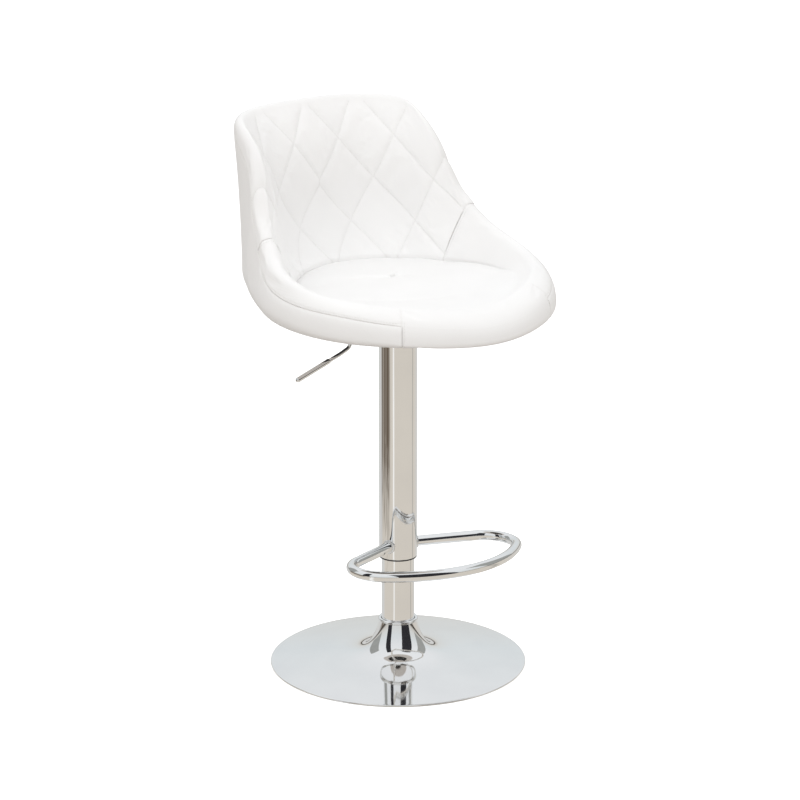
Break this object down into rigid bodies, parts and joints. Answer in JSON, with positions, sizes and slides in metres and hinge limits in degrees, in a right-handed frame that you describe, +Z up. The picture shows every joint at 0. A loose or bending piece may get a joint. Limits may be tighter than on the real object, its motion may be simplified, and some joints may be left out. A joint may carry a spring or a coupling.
{
  "type": "adjustable swivel stool",
  "caption": "Gas-lift bar stool with a diamond-quilted leatherette bucket seat, D-shaped footrest, height lever and round chromed trumpet base.",
  "frame": {"origin": "centre of the base disc at floor level, on the column's axis", "axes": "+Z up along the column, -Y the way the seat faces at rest, -X the sitter's right hand"},
  "size_m": [0.4604, 0.4981, 0.8398],
  "materials": {
    "chrome": "polished",
    "floor_rubber": "matte",
    "black_plastic": "satin",
    "raw_steel": "satin",
    "polished_steel": "polished",
    "zinc_fasteners": "satin",
    "black_paint": "satin",
    "plywood": "matte",
    "dust_cover": "matte",
    "leatherette": "satin"
  },
  "bodies": {
    "base": {"base_disc": "chrome", "base_floor_ring": "floor_rubber", "ballast_plate": "raw_steel", "column_flange": "raw_steel", "base_bolts": "zinc_fasteners", "column_tube": "chrome", "collar_ring": "chrome", "guide_bushing": "black_plastic", "bearing_race_lower": "polished_steel"},
    "piston": {"bearing_balls": "polished_steel", "bearing_race_upper": "polished_steel", "bump_stop": "floor_rubber", "retaining_clip": "zinc_fasteners", "piston_rod": "polished_steel", "piston_head": "raw_steel"},
    "seat": {"gas_cylinder": "black_paint", "cylinder_gland": "raw_steel", "shroud_tube": "chrome", "shroud_bush": "black_plastic", "shroud_top_ring": "black_plastic", "footrest_ring": "chrome", "footrest_welds": "chrome", "seat_bracket": "black_paint", "lever_pin": "zinc_fasteners", "mounting_board": "plywood", "t_nuts": "zinc_fasteners", "seat_bolts": "zinc_fasteners", "bolt_washers": "zinc_fasteners", "underside_cover": "dust_cover", "seat_shell": "plywood", "outer_cover": "leatherette", "back_pad": "leatherette", "seat_pad": "leatherette"},
    "lever": {"lever_hub": "raw_steel", "lever_rod": "chrome", "lever_grip": "chrome"},
    "button": {"valve_button": "polished_steel"}
  },
  "joints": [
    {"name": "swivel", "type": "hinge", "parent": "base", "child": "piston", "pos_m": [0, 0, 0.02], "axis": [0, 0, 1], "continuous": true},
    {"name": "lift", "type": "slide", "parent": "piston", "child": "seat", "axis": [0, 0, 1], "range_m": [0, 0.21]},
    {"name": "height_lever", "type": "hinge", "parent": "seat", "child": "lever", "pos_m": [-0.036, 0, 0.536], "axis": [0, 1, 0], "range_deg": [0, 5], "stiffness_Nm_per_rad": 2},
    {"name": "valve", "type": "slide", "parent": "seat", "child": "button", "axis": [0, 0, -1], "range_m": [0, 0.0035]}
  ],
  "couplings": [
    {"joint": "valve", "follows": "height_lever", "m_per_rad": 0.039}
  ]
}
